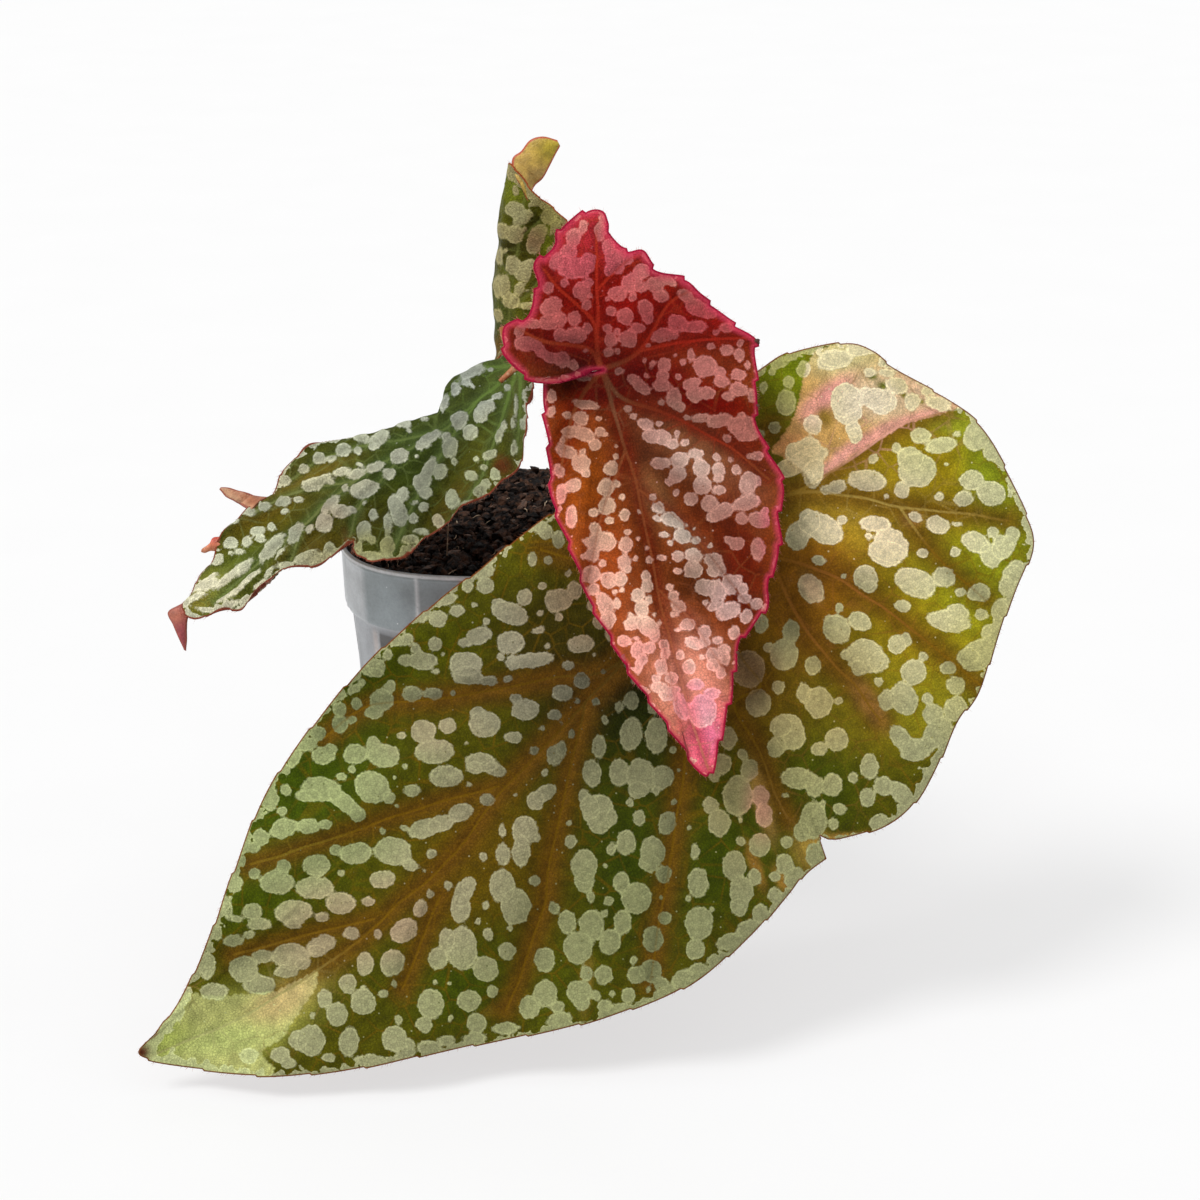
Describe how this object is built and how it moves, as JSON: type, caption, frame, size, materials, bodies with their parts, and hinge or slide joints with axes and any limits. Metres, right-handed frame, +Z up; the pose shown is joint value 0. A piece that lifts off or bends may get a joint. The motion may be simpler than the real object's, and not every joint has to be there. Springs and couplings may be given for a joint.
{
  "type": "potted begonia",
  "caption": "Young cane begonia with large spotted wing-shaped leaves, one of them red, growing in a square translucent nursery pot filled with dark potting mix.",
  "frame": {"origin": "middle of the flat underside of the pot", "axes": "+Z up; the front of the plant, where the largest leaf hangs, faces -Y"},
  "size_m": [0.241, 0.1802, 0.234],
  "materials": {
    "pot_plastic": "frosted translucent",
    "potting_mix": "moist crumbs",
    "cane": "smooth bark",
    "leaf_front": "satin, spotted",
    "leaf_red": "satin, spotted",
    "leaf_left": "satin, wrinkled",
    "leaf_top": "satin, spotted"
  },
  "bodies": {
    "root": {"pot": "pot_plastic", "soil": "potting_mix", "cane": "cane", "leaf_front": "leaf_front", "leaf_red": "leaf_red", "leaf_left": "leaf_left", "leaf_top": "leaf_top"}
  },
  "joints": []
}
